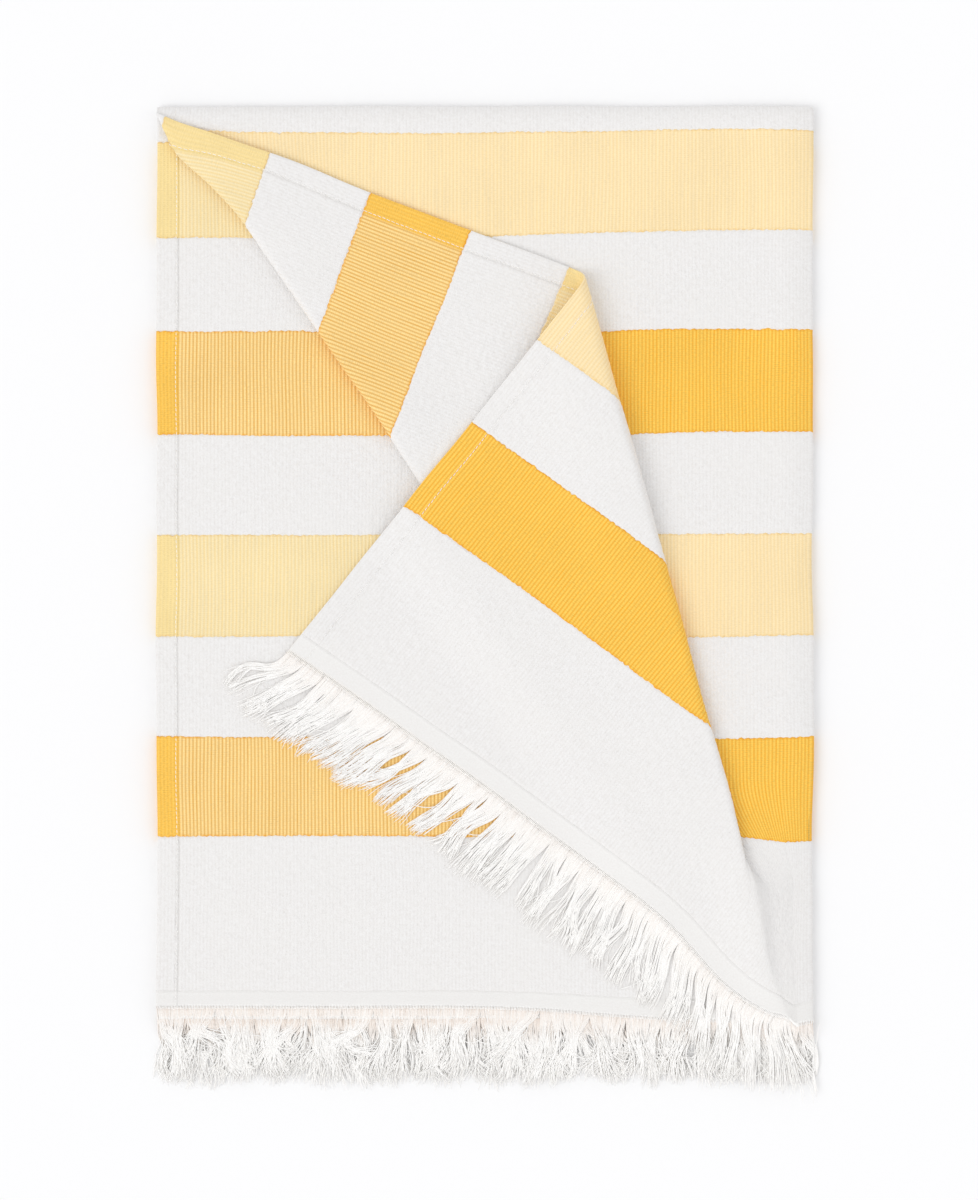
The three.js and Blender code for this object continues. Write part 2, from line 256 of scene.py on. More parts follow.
def opened_out(x, y, n, px, py, lift):
    """Round the folds' meeting point the pleat opens, and the cloth just curves in its plane."""
    away_x = APEX[0] - x
    away_y = APEX[1] - y
    distance = np.hypot(away_x, away_y)
    angle = np.arctan2(away_y, away_x)
    curved = sum(np.interp(angle + step, *PLEAT) for step in (-PLEAT_SMOOTHING, 0.0, PLEAT_SMOOTHING)) / 3
    share = 1.0 - smoothstep(distance, *OPENING)
    aside = curved - RIDGE_ANGLE
    slope = np.where(aside < 0.0, RIDGE_SPREAD[0], RIDGE_SPREAD[1])
    ridge = RIDGE_HEIGHT * np.exp(-((aside / slope) ** 2)) * smoothstep(distance, *RIDGE_RISE)
    open_x = APEX[0] - distance * np.cos(curved)
    open_y = APEX[1] - distance * np.sin(curved)
    px = px + (open_x - px) * share
    py = py + (open_y - py) * share
    sagged = SAG * np.exp(-(((px - SAG_AT[0]) ** 2 + (py - SAG_AT[1]) ** 2) / SAG_REACH**2))
    sagged = sagged * smoothstep(FOLDED_WIDTH - px, 0.0, SAG_TO_FOLD) * smoothstep(px, *SAG_FROM)
    return (
        px + SAG_TOWARDS[0] * sagged,
        py + SAG_TOWARDS[1] * sagged,
        lift + (ridge + n - lift) * share,
    )


def bell(distance, reach):
    return np.exp(-((distance / reach) ** 2))


def stepped(v, steps):
    """Shifts that come in one after another along the cloth."""
    return sum(shift * smoothstep(v, low, high) for shift, low, high in steps)


def pulled(u, v):
    """The outer layer slips over the top fold near the left edge, and its hem is drawn longer."""
    slip = TOP_SLIP + CORNER_SLIP * np.exp(-np.maximum(u, 0.0) / CORNER_SLIP_REACH)
    stretch = np.maximum(v, 0.0) * HEM_STRETCH * np.exp(-np.maximum(u, 0.0) / STRETCH_REACH)
    eased = RIGHT_TOP * bell(v, TOP_SLIP_REACH) - RIGHT_UPPER * bell(v, RIGHT_UPPER_REACH)
    eased = eased - RIGHT_SHRINK * np.maximum(v, 0.0) + stepped(v, RIGHT_STEPS)
    right = smoothstep(u, *RIGHT_FROM)
    short = FLAP_SHORT * bell(v - FLAP_SHORT_AT, FLAP_SHORT_REACH)
    short = short * (1.0 - smoothstep(u, *FLAP_SHORT_TO))
    return v - slip * bell(v, TOP_SLIP_REACH) + stretch - short + right * eased


def drawn_up(u, v):
    """The inner front layer lies lower than the outer one near the top fold, and ends higher."""
    inner = v + UNDER_DOWN + UNDER_TOP * bell(v, UNDER_TOP_REACH) + stepped(v, UNDER_STEPS)
    inner = inner - UNDER_UP * bell(v - UNDER_UP_AT, UNDER_UP_REACH)
    low, high = UNDER_ACROSS
    away = smoothstep(u, FOLDED_WIDTH + low, FOLDED_WIDTH + high) * smoothstep(v, *UNDER_ALONG)
    return away * (pulled(FOLDED_WIDTH, v) - inner)


def place(u, v, n):
    """Cloth coordinates to millimetres: right of the left edge, down from the top fold, and up."""
    u, v, n = np.broadcast_arrays(np.float64(u), np.float64(v), np.float64(n))
    angle = np.clip((u - FOLDED_WIDTH) / SIDE_RADIUS + 1.0, 0.0, 2.0) * np.pi / 2
    beyond = np.maximum(u - FOLDED_WIDTH - SIDE_RADIUS, 0.0)
    x = np.minimum(u, TURN_START) + (SIDE_RADIUS + n) * np.sin(angle) - beyond
    level = (OUTER + INNER) / 2 + (SIDE_RADIUS + n) * np.cos(angle)
    y = pulled(np.minimum(u, FOLDED_WIDTH), v) - drawn_up(u, v)
    roll = np.clip(np.abs(y) / OUTER, 0.0, 1.0) * np.pi / 2
    depth = OUTER - level * np.cos(roll) + np.maximum(np.abs(y) - OUTER, 0.0)
    z = MIDDLE_HEIGHT + np.sign(y) * level * np.sin(roll)
    front = (v > 0) & (y > OUTER) & (u < TURN_START)
    px, py, lift = turn_back(u, y, n)
    return np.stack(
        [
            np.where(front, px, x),
            np.where(front, py, depth),
            np.where(front, MIDDLE_HEIGHT + OUTER + lift, z),
        ],
        axis=-1,
    )


class Ripples:
    """A smooth field over the plan, between about -1 and 1: a few waves in seeded directions."""

    def __init__(self, seed, wavelength, count=7):
        rng = np.random.default_rng(seed)
        turn = rng.uniform(0, 2 * np.pi, count)
        number = 2 * np.pi / (wavelength * rng.uniform(0.6, 1.8, count))
        self.waves = np.stack([np.cos(turn) * number, np.sin(turn) * number], axis=-1)
        self.phases = rng.uniform(0, 2 * np.pi, count)

    def __call__(self, x, y):
        total = sum(
            np.sin(x * wave[0] + y * wave[1] + phase)
            for wave, phase in zip(self.waves, self.phases)
        )
        return total / np.sqrt(2.0 * len(self.phases))


# The unevenness of the whole stack.
swell = Ripples(11, 210.0)
creases = Ripples(12, 70.0)
sideways = Ripples(13, 120.0)
lengthways = Ripples(14, 130.0)
SWELL = 0.10  # share by which the stack is thicker where the cloth doesn't lie quite flat
CREASES = 0.045
PRESSED = 0.38  # share by which it is thinner along its right-hand and top folds
PUFFED = 0.15  # share of that by which it is thicker elsewhere
PRESSED_REACH = 24.0
PRESSED_TOP_REACH = 14.0
WOBBLE = 0.7
LOWEST = 0.03


def settle(points):
    """Millimetres on the fold to metres in the frame, with the slight unevenness of real cloth."""
    x, depth, z = (points[..., i] for i in range(3))
    uneven = 1.0 + SWELL * (0.5 + 0.5 * swell(x, depth)) + CREASES * creases(x, depth)
    pressed = np.clip(1.0 - (FOLDED_WIDTH - x) / PRESSED_REACH, 0.0, 1.0)
    pressed = np.maximum(pressed, np.clip(1.0 - depth / PRESSED_TOP_REACH, 0.0, 1.0))
    uneven = uneven + PRESSED * (PUFFED - (1.0 + PUFFED) * pressed**2)
    return np.stack(
        [
            cad_low[0] + (x + WOBBLE * sideways(x, depth)) * MM,
            cad_high[1] - (depth + CLOTH / 2 + WOBBLE * lengthways(x, depth)) * MM,
            np.maximum(z * uneven, LOWEST) * MM,
        ],
        axis=-1,
    )


# ---------------------------------------------------------------------------------------------
# Meshes
# ---------------------------------------------------------------------------------------------
def add_object(name, points, faces, uv, material, attributes=()):
    """A mesh object from arrays: points in metres, quads or polygons of one size, uv per point."""
    mesh = bpy.data.meshes.new(name)
    count, corners = faces.shape
    mesh.vertices.add(len(points))
    mesh.vertices.foreach_set("co", np.ascontiguousarray(points, dtype=np.float32).ravel())
    mesh.loops.add(count * corners)
    loops = np.ascontiguousarray(faces, dtype=np.int32).ravel()
    mesh.loops.foreach_set("vertex_index", loops)
    mesh.polygons.add(count)
    mesh.polygons.foreach_set("loop_start", np.arange(count, dtype=np.int32) * corners)
    layer = mesh.uv_layers.new(name="Cloth")
    layer.uv.foreach_set("vector", np.ascontiguousarray(uv[loops], dtype=np.float32).ravel())
    for key, values in attributes:
        made = mesh.attributes.new(key, "FLOAT", "POINT")
        made.data.foreach_set("value", np.ascontiguousarray(values, dtype=np.float32).ravel())
    mesh.update()
    mesh.validate()
    mesh.shade_smooth()
    mesh.materials.append(material)
    made = bpy.data.objects.new(name, mesh)
    bpy.context.scene.collection.objects.link(made)
    return made


def grid_faces(rows, columns):
    """Quads of a closed sheet: two faces of rows by columns of points, and the walls round them."""
    point = np.arange(2 * rows * columns).reshape(2, rows, columns)
    top, under = point
    quads = [
        np.stack([top[:-1, :-1], top[1:, :-1], top[1:, 1:], top[:-1, 1:]], axis=-1),
        np.stack([under[:-1, :-1], under[:-1, 1:], under[1:, 1:], under[1:, :-1]], axis=-1),
        np.stack([top[0, :-1], top[0, 1:], under[0, 1:], under[0, :-1]], axis=-1),
        np.stack([top[-1, 1:], top[-1, :-1], under[-1, :-1], under[-1, 1:]], axis=-1),
        np.stack([top[1:, 0], top[:-1, 0], under[:-1, 0], under[1:, 0]], axis=-1),
        np.stack([top[:-1, -1], top[1:, -1], under[1:, -1], under[:-1, -1]], axis=-1),
    ]
    return np.concatenate([quad.reshape(-1, 4) for quad in quads])


STRAND_SIDES = 4


def tubes(paths, radii, sides):
    """Points and faces of closed thin tubes. paths is strands x points x 3, radii strands x points."""
    strands, count, _ = paths.shape
    along = np.gradient(paths, axis=1)
    along /= np.linalg.norm(along, axis=-1, keepdims=True) + 1e-12
    up = np.zeros_like(along)
    up[..., 2] = 1.0
    side = np.cross(along, up)
    side /= np.linalg.norm(side, axis=-1, keepdims=True) + 1e-9
    rise = np.cross(side, along)
    angles = np.arange(sides) * 2 * np.pi / sides
    ring = (
        side[:, :, None, :] * np.cos(angles)[None, None, :, None]
        + rise[:, :, None, :] * np.sin(angles)[None, None, :, None]
    )
    points = paths[:, :, None, :] + ring * radii[:, :, None, None]
    index = np.arange(strands * count * sides).reshape(strands, count, sides)
    after = np.roll(index, -1, axis=2)
    walls = np.stack(
        [index[:, :-1], after[:, :-1], after[:, 1:], index[:, 1:]], axis=-1
    ).reshape(-1, 4)
    ends = [index[:, 0, ::-1].reshape(-1, sides), index[:, -1].reshape(-1, sides)]
    return points.reshape(-1, 3), walls, ends


def add_tubes(name, paths, radii, tint, material):
    """An object of closed four-sided strands. Its uv is (a strand's own number, share along it)."""
    points, walls, ends = tubes(paths, radii, STRAND_SIDES)
    strands, count = radii.shape
    share = np.broadcast_to(np.linspace(0.0, 1.0, count), (strands, count))
    own = np.broadcast_to(tint[:, None], (strands, count))
    uv = np.repeat(np.stack([own, share], axis=-1).reshape(-1, 2), STRAND_SIDES, axis=0)
    return add_object(name, points, np.concatenate([walls, *ends]), uv, material)


# ---------------------------------------------------------------------------------------------
# Materials
# ---------------------------------------------------------------------------------------------
def linear(r, g, b):
    """An sRGB colour from 0 to 255 as Blender's linear one."""
    share = np.array([r, g, b]) / 255.0
    value = np.where(share <= 0.04045, share / 12.92, ((share + 0.055) / 1.055) ** 2.4)
    return (*value, 1.0)


class Graph:
    """A material made of nodes around one Principled shader."""

    def __init__(self, name, roughness, sheen):
        self.material = bpy.data.materials.new(name)
        self.material.use_nodes = True
        self.tree = self.material.node_tree
        self.tree.nodes.clear()
        self.shader = self.tree.nodes.new("ShaderNodeBsdfPrincipled")
        output = self.tree.nodes.new("ShaderNodeOutputMaterial")
        self.tree.links.new(self.shader.outputs["BSDF"], output.inputs["Surface"])
        self.shader.inputs["Roughness"].default_value = roughness
        self.shader.inputs["Sheen Weight"].default_value = sheen
        self.shader.inputs["Sheen Roughness"].default_value = 0.6
        self.shader.inputs["Specular IOR Level"].default_value = 0.15

    def fill(self, socket, value):
        if isinstance(value, bpy.types.NodeSocket):
            self.tree.links.new(value, socket)
        elif value is not None:
            socket.default_value = value

    def math(self, operation, first, second=None, third=None):
        node = self.tree.nodes.new("ShaderNodeMath")
        node.operation = operation
        for socket, value in zip(node.inputs, (first, second, third)):
            self.fill(socket, value)
        return node.outputs[0]

    def attribute(self, name):
        node = self.tree.nodes.new("ShaderNodeAttribute")
        node.attribute_name = name
        return node.outputs["Fac"]

    def cloth(self):
        """Cloth coordinates across and along, in millimetres."""
        node = self.tree.nodes.new("ShaderNodeUVMap")
        node.uv_map = "Cloth"
        parts = self.tree.nodes.new("ShaderNodeSeparateXYZ")
        self.tree.links.new(node.outputs["UV"], parts.inputs[0])
        return [self.math("MULTIPLY", parts.outputs[i], 1000.0) for i in range(2)]

    def vector(self, x, y, z=0.0):
        node = self.tree.nodes.new("ShaderNodeCombineXYZ")
        for socket, value in zip(node.inputs, (x, y, z)):
            self.fill(socket, value)
        return node.outputs[0]

    def noise(self, vector, scale, detail=2.0, roughness=0.5):
        node = self.tree.nodes.new("ShaderNodeTexNoise")
        self.fill(node.inputs["Vector"], vector)
        node.inputs["Scale"].default_value = scale
        node.inputs["Detail"].default_value = detail
        node.inputs["Roughness"].default_value = roughness
        return node.outputs["Fac"]

    def cells(self, vector, scale):
        node = self.tree.nodes.new("ShaderNodeTexVoronoi")
        self.fill(node.inputs["Vector"], vector)
        node.inputs["Scale"].default_value = scale
        return node.outputs["Distance"]

    def span(self, value, low, high, to_low=0.0, to_high=1.0):
        node = self.tree.nodes.new("ShaderNodeMapRange")
        self.fill(node.inputs["Value"], value)
        numbers = (low, high, to_low, to_high)
        for key, number in zip(("From Min", "From Max", "To Min", "To Max"), numbers):
            node.inputs[key].default_value = number
        return node.outputs["Result"]

    def blend(self, factor, first, second, kind="MIX"):
        node = self.tree.nodes.new("ShaderNodeMix")
        node.data_type = "RGBA"
        node.blend_type = kind
        self.fill(node.inputs[0], factor)
        self.fill(node.inputs[6], first)
        self.fill(node.inputs[7], second)
        return node.outputs[2]

    def finish(self, colour, height, depth):
        self.fill(self.shader.inputs["Base Color"], colour)
        bump = self.tree.nodes.new("ShaderNodeBump")
        bump.inputs["Strength"].default_value = 1.0
        bump.inputs["Distance"].default_value = depth
        self.fill(bump.inputs["Height"], height)
        self.tree.links.new(bump.outputs["Normal"], self.shader.inputs["Normal"])
        return self.material


RIB_PITCH = 2.75
WEFT_PITCH = 1.5
FINE_WARP_PITCH = 1.1
FINE_WEFT_PITCH = 0.9
USUAL = (0.3, 0.7)  # nearly all of a noise lies between these


def ribbed(name, face, groove_shade, under, under_groove_shade, hem, edge, depth):
    """Warp ribs crossed by weft flecks, with painted shade in the rib grooves. The back of the cloth is
    paler, its hem and edges deeper, and the crease at the hem's inner edge has painted shade.
    """
    g = Graph(name, 0.9, 0.08)
    across, along = g.cloth()

    def streaks(times_across, times_along, scale, detail=2.0):
        """Noise that is stretched along or across the cloth."""
        stretched = g.vector(
            g.math("MULTIPLY", across, times_across),
            g.math("MULTIPLY", along, times_along),
        )
        return g.noise(stretched, scale, detail)

    ribs = g.math("COSINE", g.math("MULTIPLY", across, 2 * np.pi / RIB_PITCH))
    ribs = g.math("MULTIPLY_ADD", ribs, 0.5, 0.5)
    flecks = streaks(0.42, 1.3, 1.0, 3.0)
    tone = streaks(0.9, 0.04, 0.5)
    patches = g.noise(g.vector(across, along), 0.018, 3.0)
    # Painted shade in the rib grooves, weakened by the weft's tone and flecks.
    groove_shade_mask = g.math("MULTIPLY", g.span(ribs, 0.1, 0.75, 1.0, 0.0), g.span(tone, *USUAL, 0.6, 1.0))
    groove_shade_mask = g.math("MULTIPLY", groove_shade_mask, g.span(flecks, 0.3, 0.6, 0.55, 1.0))
    outside = g.blend(groove_shade_mask, face, groove_shade)
    colour = g.blend(g.attribute("paler"), outside, g.blend(groove_shade_mask, under, under_groove_shade))
    # Deeper tone over the doubled hem, with painted shade in the crease at its inner edge.
    colour = g.blend(g.attribute("hem"), colour, hem)
    knots = g.noise(g.vector(across, g.math("MULTIPLY", along, 0.3)), 0.35, 1.0)
    near = g.span(g.attribute("edge"), 0.6, 2.2, 1.0, 0.0)
    colour = g.blend(g.math("MULTIPLY", near, g.span(knots, 0.4, 0.6, 0.1, 0.75)), colour, edge)
    weft = g.math("COSINE", g.math("MULTIPLY", along, 2 * np.pi / WEFT_PITCH))
    crossing = streaks(0.12, 0.5, 0.8)
    dark = g.math("ADD", g.span(flecks, *USUAL, -depth, depth), g.span(tone, *USUAL, -0.03, 0.03))
    lines = g.math("MULTIPLY", weft, g.span(crossing, 0.4, 0.65, 0.0, 0.5 * depth))
    dark = g.math("ADD", dark, lines)
    dark = g.math("ADD", dark, g.span(patches, *USUAL, -0.025, 0.025))
    shade = g.math("ADD", dark, 1.0)
    colour = g.blend(1.0, colour, g.vector(shade, shade, shade), "MULTIPLY")
    height = g.math("MULTIPLY_ADD", weft, 0.18, g.math("MULTIPLY", ribs, 0.35))
    height = g.math("MULTIPLY_ADD", flecks, 0.7, height)
    return g.finish(colour, height, 0.00025)


def terry(name, face, deep, shaded, hem):
    """Loops of pile in faint rows, with painted shade between the loops, rows and clumps and in the crease
    along the hem, and slightly greyer in patches.
    """
    g = Graph(name, 0.95, 0.2)
    across, along = g.cloth()
    at = g.vector(across, along)
    loops = g.cells(at, 0.8)
    clumps = g.noise(at, 0.3, 3.0, 0.55)
    rows = g.math("COSINE", g.math("MULTIPLY", across, 2 * np.pi / RIB_PITCH))
    patches = g.noise(at, 0.02, 3.0)
    # Painted shade between the loops, rows and clumps of pile, mixed in with the deep colour.
    between = g.span(loops, 0.25, 0.75, 0.0, 0.4)
    between = g.math("ADD", between, g.span(clumps, 0.35, 0.65, 0.25, -0.1))
    between = g.math("ADD", between, g.span(rows, -1.0, 0.2, 0.3, 0.0))
    colour = g.blend(g.math("MAXIMUM", g.math("MINIMUM", between, 1.0), 0.0), face, deep)
    colour = g.blend(g.span(patches, 0.35, 0.7, 0.0, 0.35), colour, shaded)
    # Painted shade in the crease at the hem's inner edge.
    colour = g.blend(g.attribute("hem"), colour, hem)
    height = g.math("MULTIPLY_ADD", loops, -0.7, g.math("MULTIPLY", clumps, 0.9))
    height = g.math("MULTIPLY_ADD", rows, 0.12, height)
    return g.finish(colour, height, 0.0003)


def plain_weave(name, face, deep):
    """A fine flat weave without pile."""
    g = Graph(name, 0.88, 0.08)
    across, along = g.cloth()
    warp = g.math("COSINE", g.math("MULTIPLY", across, 2 * np.pi / FINE_WARP_PITCH))
    weft = g.math("COSINE", g.math("MULTIPLY", along, 2 * np.pi / FINE_WEFT_PITCH))
    weave = g.math("MULTIPLY", warp, weft)
    fuzz = g.noise(g.vector(across, along), 0.7, 3.0)
    factor = g.math("ADD", g.span(weave, -1.0, 1.0, 0.3, 0.0), g.span(fuzz, 0.35, 0.65, 0.35, 0.0))
    colour = g.blend(factor, face, deep)
    return g.finish(colour, g.math("MULTIPLY_ADD", fuzz, 0.8, g.math("MULTIPLY", weave, 0.3)), 0.0002)


def yarn(name, face, deep, twist_pitch):
    """Twisted cotton yarn: each strand has its own tint, and painted shade deepens its colour near its
    root, where the strands shade each other.
    """
    g = Graph(name, 0.85, 0.1)
    node = g.tree.nodes.new("ShaderNodeUVMap")
    node.uv_map = "Cloth"
    parts = g.tree.nodes.new("ShaderNodeSeparateXYZ")
    g.tree.links.new(node.outputs["UV"], parts.inputs[0])
    own, share = parts.outputs[0], parts.outputs[1]
    geometry = g.tree.nodes.new("ShaderNodeTexCoord")
    fibre = g.noise(geometry.outputs["Object"], 900.0, 2.0)
    twist = g.math("SINE", g.math("MULTIPLY", share, 2 * np.pi / twist_pitch))
    # Painted shade near the root, where the strands shade each other, scaled by each strand's tint; the
    # fibre noise varies the yarn's own colour.
    factor = g.math("MULTIPLY", g.span(own, 0.0, 1.0, 0.1, 1.0), g.span(share, 0.0, 0.45, 0.9, 0.0))
    factor = g.math("ADD", factor, g.span(fibre, 0.35, 0.65, -0.05, 0.08))
    factor = g.math("MAXIMUM", g.math("MINIMUM", factor, 1.0), 0.0)
    colour = g.blend(factor, face, deep)
    height = g.math("MULTIPLY_ADD", fibre, 0.6, g.math("MULTIPLY", twist, 0.4))
    return g.finish(colour, height, 0.0001)


MATERIALS = {
    "white": terry(
        "terry_white",
        face=linear(238, 237, 236),
        # deep: painted shade between the loops of pile
        deep=linear(226, 223, 220),
        shaded=linear(234, 232, 229),
        # hem: painted shade in the crease at the hem's inner edge
        hem=linear(214, 211, 207),
    ),
    "light": ribbed(
        "ribbed_light_yellow",
        face=linear(249, 227, 182),
        # groove and under_groove_shade: painted shade in the rib grooves
        groove_shade=linear(242, 214, 158),
        under=linear(244, 226, 181),
        under_groove_shade=linear(238, 211, 150),
        # hem: the doubled hem's deeper tone, also used for the painted shade in its crease
        hem=linear(241, 216, 147),
        edge=linear(238, 203, 136),
        depth=0.06,
    ),
    "amber": ribbed(
        "ribbed_amber",
        face=linear(249, 203, 92),
        # groove and under_groove_shade: painted shade in the rib grooves
        groove_shade=linear(234, 166, 44),
        under=linear(251, 217, 147),
        under_groove_shade=linear(218, 164, 76),
        # hem: the doubled hem's deeper tone, also used for the painted shade in its crease
        hem=linear(245, 193, 78),
        edge=linear(234, 160, 40),
        depth=0.12,
    ),
    "end": plain_weave("flat_woven_ecru", linear(241, 240, 238), linear(230, 227, 223)),
    # fringe deep: painted shade near the roots of the yarns
    "fringe": yarn("fringe_cotton", linear(255, 254, 252), linear(233, 217, 203), 0.03),
    # thread deep: the same painted shade, towards the start of each stitch and of each overlocked row
    "thread": yarn("sewing_thread", linear(253, 252, 250), linear(247, 241, 232), 0.3),
}

# ---------------------------------------------------------------------------------------------
# Woven stripes
# ---------------------------------------------------------------------------------------------
HALF_THICKNESS = {"white": 1.02, "light": 0.78, "amber": 0.78, "end": 0.6}
OVERLAP = {"white": 1.3, "light": 0.35, "amber": 0.35, "end": 0.3}  # of a stripe past its edges
RAGGED = {"white": 0.35, "light": 0.42, "amber": 0.42, "end": 0.1}  # unevenness of those edges
SCALLOP = {"white": 0.0, "light": 0.75, "amber": 0.75, "end": 0.0}  # depth of their scallops
SCALLOP_PITCH = 4.6
EDGE_REACH = 1.2  # how far into the stripe an edge's unevenness goes
RIB_DEPTH = 0.13
RIB_SHARE = {1: 0.6, -1: 1.1}  # of that depth on the outer and the inner face
RIBBED_ROLL = (0.16, 0.9, 0.9)  # height, place and half width of the roll along a ribbed edge
BAND_LINE = (0.5, 1.5, 0.6)  # and of the raised line along the woven end's inner edge
BAND_NOISE = 0.03
PILE = 0.11  # unevenness of the pile
PILE_FOOT = (0.9, 2.7)  # distances from a stripe's edge between which the pile rises
PILE_LEAST = 0.35
THIN_EDGE = 0.6  # radius of the edge of a stripe without pile
EDGE_ROUND = 1.3  # radius of the cloth's side edges
STITCH_AT = 14.9  # from a side edge to its row of stitches
STITCH_WIDTH = 0.9
STITCH_DENT = 0.2
PILE_DENT = 0.1
HEM_EXTRA = {"white": 0.3, "light": 0.5, "amber": 0.5, "end": 0.4}
HEM_STEP = 0.12  # width of the step at a hem's inner edge
# The grid of a stripe: its pitch across the cloth and along it.
RIBBED_GRID = (RIB_PITCH / 4, 4.0)
GRID = {"white": (1.32, 1.5), "light": RIBBED_GRID, "amber": RIBBED_GRID, "end": (1.1, 1.2)}
MIDDLE_GRID = (1.32, 1.1)
END_STRIPE_GRID = (1.55, 1.9)
BACK_PITCH = {"white": 2.2, "light": RIB_PITCH / 4, "amber": RIB_PITCH / 4, "end": RIB_PITCH / 4}
BACK_ROW_PITCH = 5.0
HIDDEN_PITCH = 8.0
CLOSEST_COLUMNS = 0.1
SIDE_STEPS = 10  # columns round the right-hand fold
EDGE_CLEAR = 1.5  # from a side edge to the first column of the grid
BACK_SHOWN = 30.0  # from a side edge, how much of a back layer has the full detail
SHOWN_START = 26.0  # how much of the inner front layer shows from its hem, at the top fold
SHOWN_SLOPE = 0.7  # and how much more for each millimetre further down
EDGE_ROWS = {
    "white": [0.0, 0.8, 1.4, 2.0, 2.7, 3.8],
    "light": [0.0, 0.45, 1.1, 2.0, 3.4],
    "amber": [0.0, 0.45, 1.1, 2.0, 3.4],
    "end": [0.0, 0.3, 0.7, 1.3],
}


def thinned(values, closest):
    """Sorted values without any that is nearer than closest to the one before it."""
    kept = []
    for value in sorted(values):
        if not kept or value - kept[-1] >= closest:
            kept.append(value)
    return kept


def columns_for(pitch, reach, front):
    """Column positions across the cloth. Only what shows has the full detail."""
    edge = [0.0, 0.12, 0.35, 0.7, 1.1]
    hem = [STITCH_AT + step for step in (-1.5, -0.9, -0.3, 0.3, 0.9)]
    hem += [HEM_WIDTH + step for step in (0.0, HEM_STEP, 0.5, 1.0, 1.6)]
    side = [TURN_START + 2 * SIDE_RADIUS * i / SIDE_STEPS for i in range(SIDE_STEPS + 1)]
    fine = [i * pitch for i in range(int(CLOTH_WIDTH / pitch) + 1)]
    past_fold = FOLDED_WIDTH + SIDE_RADIUS
    if front:
        outer_end, inner_start = TURN_START - 0.1, CLOTH_WIDTH - reach
        hidden = [*np.arange(past_fold + 3, inner_start, HIDDEN_PITCH)]
    else:
        outer_end, inner_start = BACK_SHOWN, CLOTH_WIDTH - BACK_SHOWN
        hidden = [*np.arange(outer_end, TURN_START - 1, HIDDEN_PITCH)]
        hidden += [*np.arange(past_fold + 1, inner_start, HIDDEN_PITCH)]
    shown = [x for x in fine if EDGE_CLEAR < x < outer_end]
    shown += [x for x in fine if inner_start < x < CLOTH_WIDTH - EDGE_CLEAR]
    mirrored = [CLOTH_WIDTH - x for x in edge + hem]
    return np.array(thinned([*edge, *hem, *side, *shown, *hidden, *mirrored], CLOSEST_COLUMNS))


def rows_for(weave, low, high, pitch):
    """Row positions along the cloth, close together at both edges of the stripe."""
    edge = EDGE_ROWS[weave]
    inside = np.linspace(low + edge[-1], high - edge[-1], max(2, int((high - low) / pitch)))
    return np.array([low + d for d in edge[:-1]] + list(inside) + [high - d for d in edge[-2::-1]])


def rounded(distance, radius):
    """Height, from 0.25 to 1, of a rounded edge at a distance inside it."""
    share = np.clip(distance / radius, 0.0, 1.0)
    return 0.25 + 0.75 * np.sqrt(1.0 - (1.0 - share) ** 2)


def weave_noise(rng, shape, smooth):
    """Seeded noise over a grid, smoothed a few times along its columns and rows."""
    noise = rng.normal(size=shape)
    for _ in range(smooth):
        noise = (noise + np.roll(noise, 1, 0) + np.roll(noise, 1, 1) + np.roll(noise, -1, 1)) / 4
    return noise / noise.std()


def ridge(distance, height, at, half_width):
    return height * bell(distance - at, half_width)


def uneven_edges(rng, weave, u):
    """Shifts of a stripe's two edges, scalloped and a little ragged in steps as wide as a rib."""
    knots = np.arange(0, CLOTH_WIDTH + 2, RIB_PITCH)
    drifts = np.arange(0, CLOTH_WIDTH + 40, 31.0)
    shifts = []
    for _ in range(2):
        ragged = np.interp(u, knots, rng.normal(0.0, RAGGED[weave], knots.size))
        drift = np.interp(u, drifts, rng.uniform(0, 3, drifts.size))
        wave = np.abs(np.sin(np.pi * u / SCALLOP_PITCH + drift)) - 0.5
        shifts.append(ragged + SCALLOP[weave] * wave)
    return shifts


